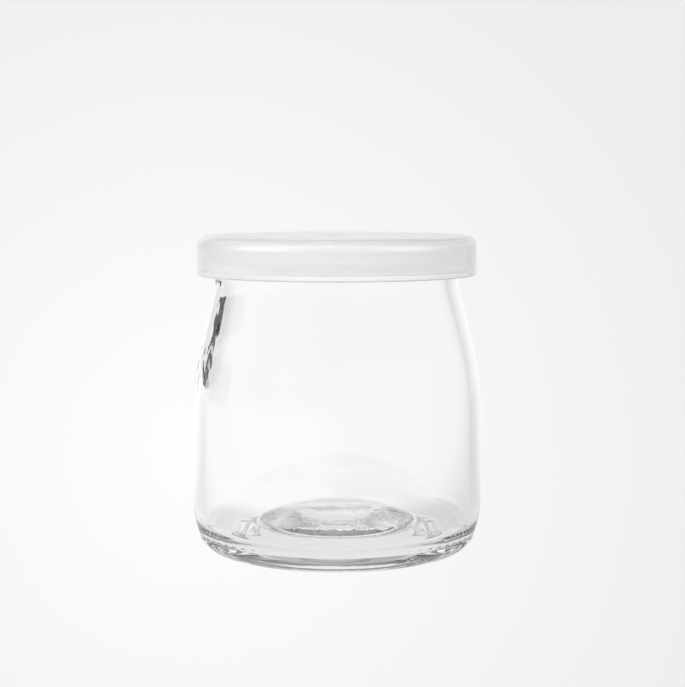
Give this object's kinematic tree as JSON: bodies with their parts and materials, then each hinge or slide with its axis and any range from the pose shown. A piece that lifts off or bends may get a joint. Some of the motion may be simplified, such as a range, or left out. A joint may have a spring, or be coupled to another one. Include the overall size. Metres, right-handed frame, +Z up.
{
  "type": "glass pudding jar with lid",
  "caption": "Squat clear glass jar with a sloping shoulder, thick rim and heavy base, closed by a milky press-on plastic lid; empty.",
  "frame": {"origin": "middle of the base, on the plane that the jar stands on", "axes": "+Z up along the axis of the jar; the jar is round, so +X and +Y are free"},
  "size_m": [0.07, 0.07, 0.0759],
  "materials": {
    "clear_glass": "polished",
    "milky_polyethylene": "satin, translucent"
  },
  "bodies": {
    "root": {"jar": "clear_glass", "lid": "milky_polyethylene"}
  },
  "joints": []
}
